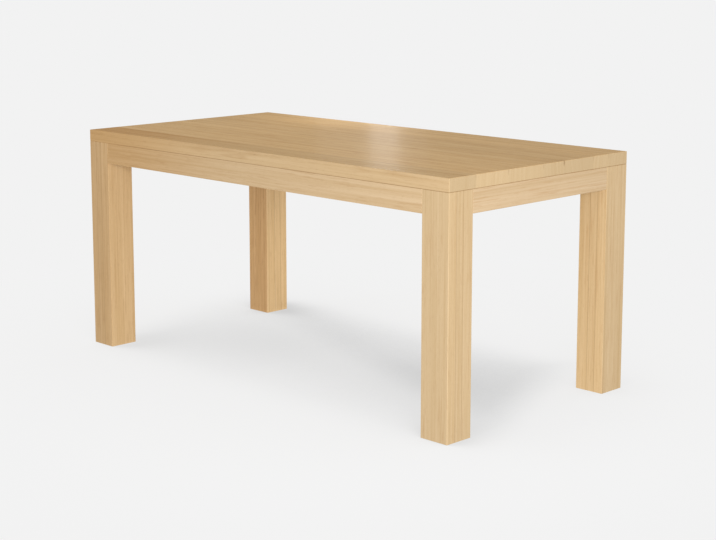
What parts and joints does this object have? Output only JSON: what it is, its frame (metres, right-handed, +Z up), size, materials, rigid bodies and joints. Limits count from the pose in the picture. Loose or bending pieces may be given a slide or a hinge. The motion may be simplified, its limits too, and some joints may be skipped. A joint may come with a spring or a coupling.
{
  "type": "parsons dining table",
  "caption": "Rectangular oak dining table with square corner legs, flush aprons and a flush edge-glued top, knock-down legs on hanger bolts.",
  "frame": {"origin": "on the floor under the middle of the table, at the bottom of the glides", "axes": "+X along the length of the table to its right end, +Y to the rear long side, +Z up"},
  "size_m": [1.65, 0.82, 0.75],
  "materials": {
    "oak_top": "satin clear lacquer on pale natural oak, grain along the length",
    "oak_leg": "satin clear lacquer on pale natural oak, grain upright",
    "oak_apron": "satin clear lacquer on pale natural oak, grain along the apron",
    "frame_wood": "plain sanded hardwood, unlacquered",
    "beech": "plain beech",
    "zinc_steel": "bright zinc plating",
    "nylon": "matt brown nylon"
  },
  "bodies": {
    "root": {"top_board_1": "oak_top", "top_board_2": "oak_top", "top_board_3": "oak_top", "top_board_4": "oak_top", "top_board_5": "oak_top", "top_board_6": "oak_top", "top_board_7": "oak_top", "leg_front_left_outer_stave": "oak_leg", "leg_front_left_middle_stave": "oak_leg", "leg_front_left_inner_stave": "oak_leg", "leg_front_right_outer_stave": "oak_leg", "leg_front_right_middle_stave": "oak_leg", "leg_front_right_inner_stave": "oak_leg", "leg_rear_right_outer_stave": "oak_leg", "leg_rear_right_middle_stave": "oak_leg", "leg_rear_right_inner_stave": "oak_leg", "leg_rear_left_outer_stave": "oak_leg", "leg_rear_left_middle_stave": "oak_leg", "leg_rear_left_inner_stave": "oak_leg", "apron_front": "oak_apron", "apron_rear": "oak_apron", "apron_left": "oak_apron", "apron_right": "oak_apron", "cross_rail_left": "frame_wood", "cross_rail_right": "frame_wood", "corner_block_front_left": "frame_wood", "corner_block_front_right": "frame_wood", "corner_block_rear_right": "frame_wood", "corner_block_rear_left": "frame_wood", "loose_tenons": "beech", "hanger_bolts": "zinc_steel", "washers": "zinc_steel", "hex_nuts": "zinc_steel", "table_clips": "zinc_steel", "clip_screws": "zinc_steel", "leg_glide_front_left": "nylon", "leg_glide_front_right": "nylon", "leg_glide_rear_right": "nylon", "leg_glide_rear_left": "nylon"}
  },
  "joints": []
}
